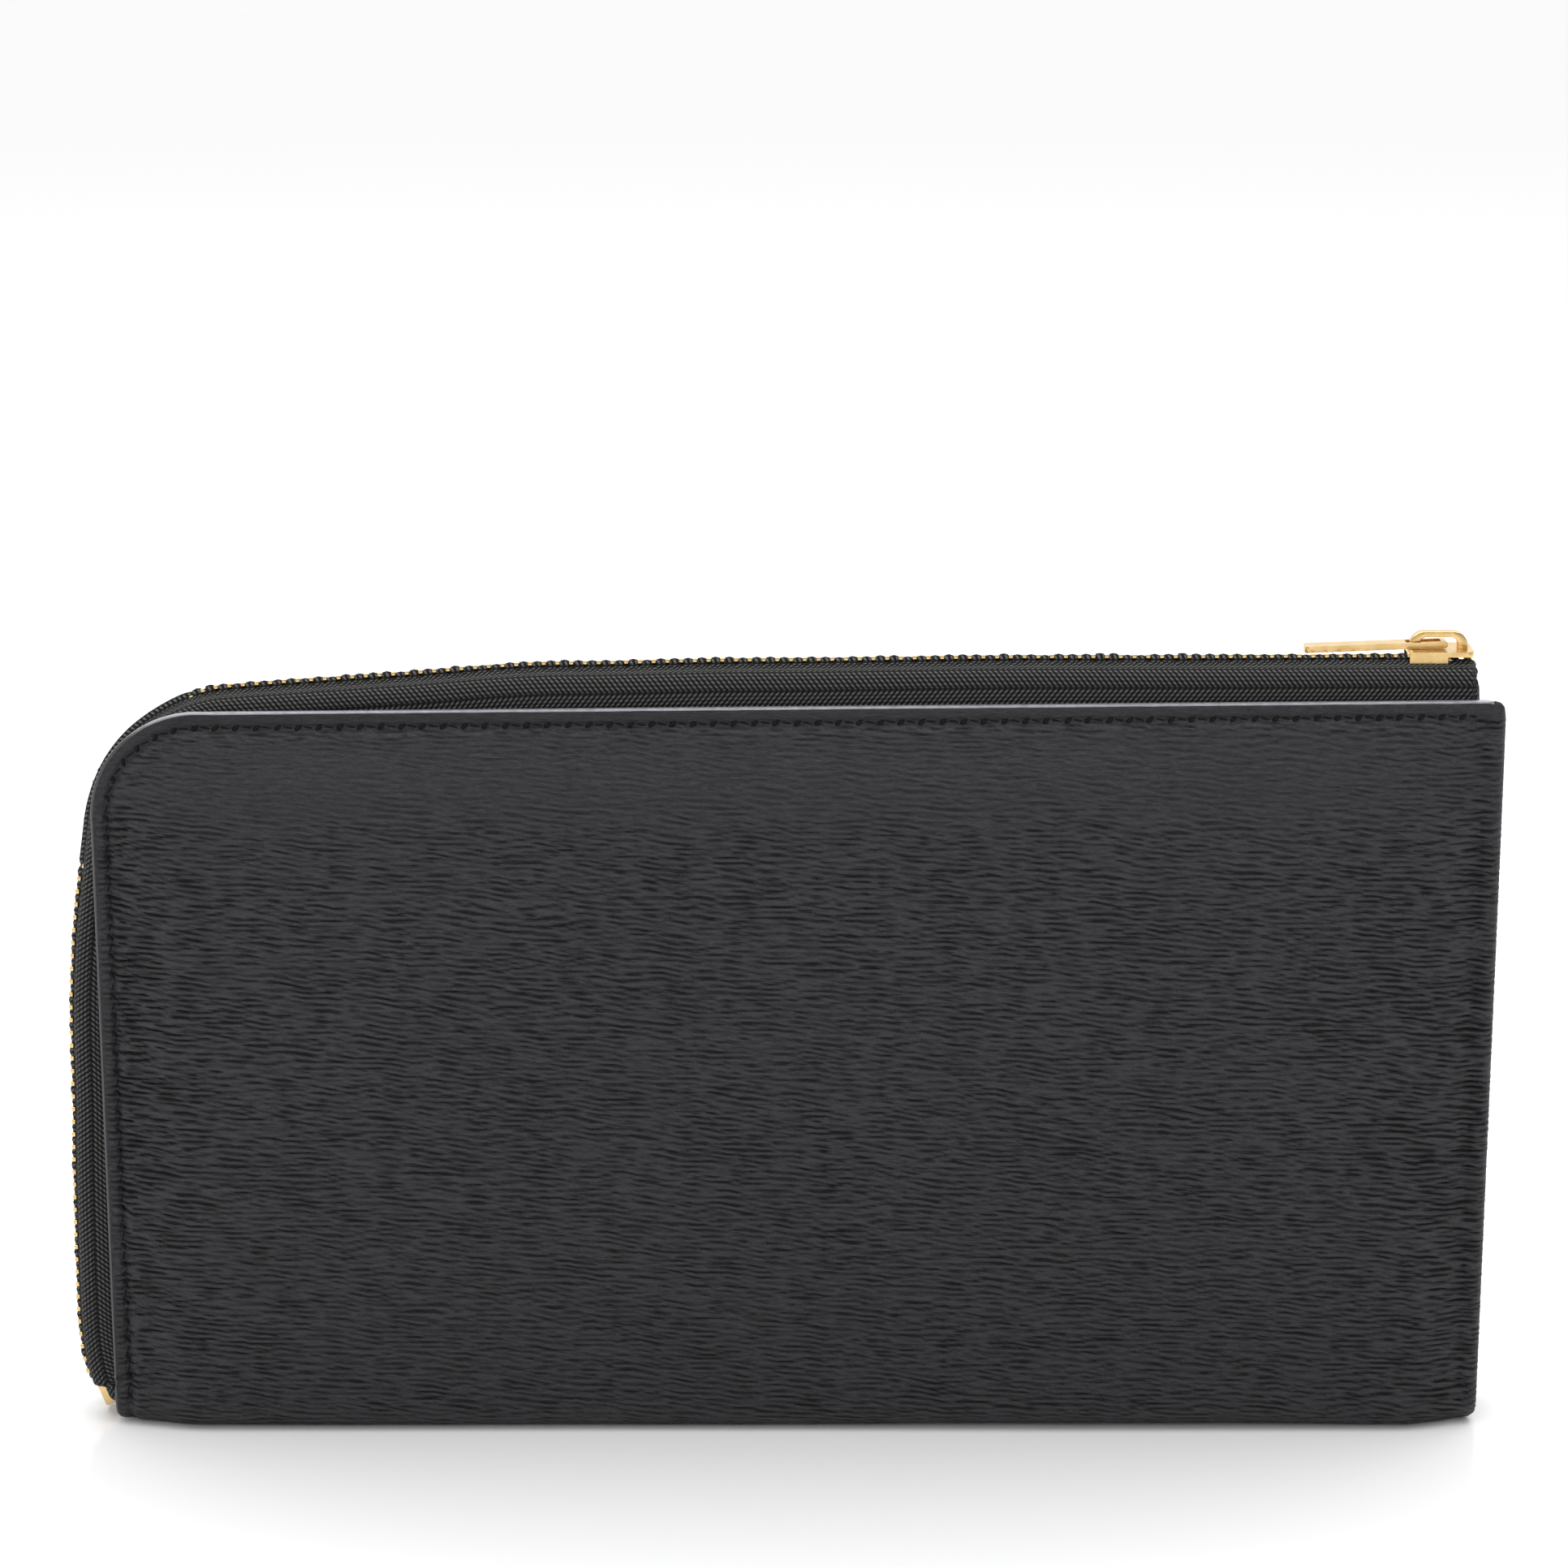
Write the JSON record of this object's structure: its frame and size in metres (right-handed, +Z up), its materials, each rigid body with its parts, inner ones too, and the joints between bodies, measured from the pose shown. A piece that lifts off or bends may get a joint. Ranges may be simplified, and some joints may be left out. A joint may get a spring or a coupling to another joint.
{
  "type": "zip around wallet",
  "caption": "Long leather wallet with an L-shaped metal zip over its top and left side, card pockets, a zipped coin pocket and two bill compartments.",
  "frame": {"origin": "on the flat of the bottom fold, midway along the leather panels, in the plane of the zip chain", "axes": "+X to the right along the wallet, towards the closed slider; +Z up to the zip; -Y out of the front panel"},
  "size_m": [0.1982, 0.019, 0.114],
  "materials": {
    "outer_leather": "fine horizontal grain, satin",
    "lining_fabric": "plain woven, matt",
    "pocket_leather": "smooth split, satin",
    "board": "grey stiffener board",
    "zip_tape": "herringbone woven tape, matt",
    "zip_metal": "polished gold plating"
  },
  "bodies": {
    "back_half": {"back_leather": "outer_leather", "bottom_leather": "outer_leather", "bottom_lining": "lining_fabric", "back_lining": "lining_fabric", "back_board": "board", "slip_pocket": "pocket_leather", "back_gusset_leaf": "lining_fabric", "back_zip_tape": "zip_tape", "back_zip_teeth": "zip_metal", "back_top_stop": "zip_metal", "bottom_stop": "zip_metal"},
    "front_half": {"front_leather": "outer_leather", "front_lining": "lining_fabric", "front_board": "board", "card_pocket_1": "pocket_leather", "card_pocket_2": "pocket_leather", "card_pocket_3": "pocket_leather", "card_pocket_4": "pocket_leather", "front_gusset_leaf": "lining_fabric", "front_zip_tape": "zip_tape", "front_zip_teeth": "zip_metal", "front_top_stop": "zip_metal"},
    "coin_pocket": {"coin_back_wall": "lining_fabric", "coin_front_wall": "lining_fabric", "coin_rim": "pocket_leather", "coin_upper_tape": "zip_tape", "coin_lower_tape": "zip_tape", "coin_lower_teeth": "zip_metal", "coin_upper_teeth": "zip_metal", "coin_closed_stop": "zip_metal", "coin_open_stop": "zip_metal"},
    "slider": {"slider_body": "zip_metal", "slider_bail": "zip_metal"},
    "puller": {"pull_tab": "zip_metal"},
    "coin_slider": {"coin_slider_body": "zip_metal", "coin_slider_bail": "zip_metal"},
    "coin_puller": {"coin_pull_tab": "zip_metal"}
  },
  "joints": [
    {"name": "slider_travel", "type": "slide", "parent": "back_half", "child": "slider", "axis": [1, 0, 0], "range_m": [-0.12, 0]},
    {"name": "front_opening", "type": "hinge", "parent": "back_half", "child": "front_half", "pos_m": [0, 0, 0.002], "axis": [1, 0, 0], "range_deg": [0, 28]},
    {"name": "coin_pocket_swing", "type": "hinge", "parent": "back_half", "child": "coin_pocket", "pos_m": [0, 0, 0.002], "axis": [1, 0, 0], "range_deg": [0, 14]},
    {"name": "puller_swing", "type": "hinge", "parent": "slider", "child": "puller", "pos_m": [0.08855, 0, 0.11228], "axis": [0, 1, 0], "range_deg": [0, 175]},
    {"name": "coin_slider_travel", "type": "slide", "parent": "coin_pocket", "child": "coin_slider", "axis": [1, 0, 0], "range_m": [-0.11, 0]},
    {"name": "coin_puller_swing", "type": "hinge", "parent": "coin_slider", "child": "coin_puller", "pos_m": [0.05055, -0.00293, 0.08], "axis": [0, 0, 1], "range_deg": [0, 12]}
  ],
  "couplings": [
    {"joint": "front_opening", "follows": "slider_travel", "rad_per_m": -4.0724},
    {"joint": "coin_pocket_swing", "follows": "slider_travel", "rad_per_m": -2.0362}
  ]
}
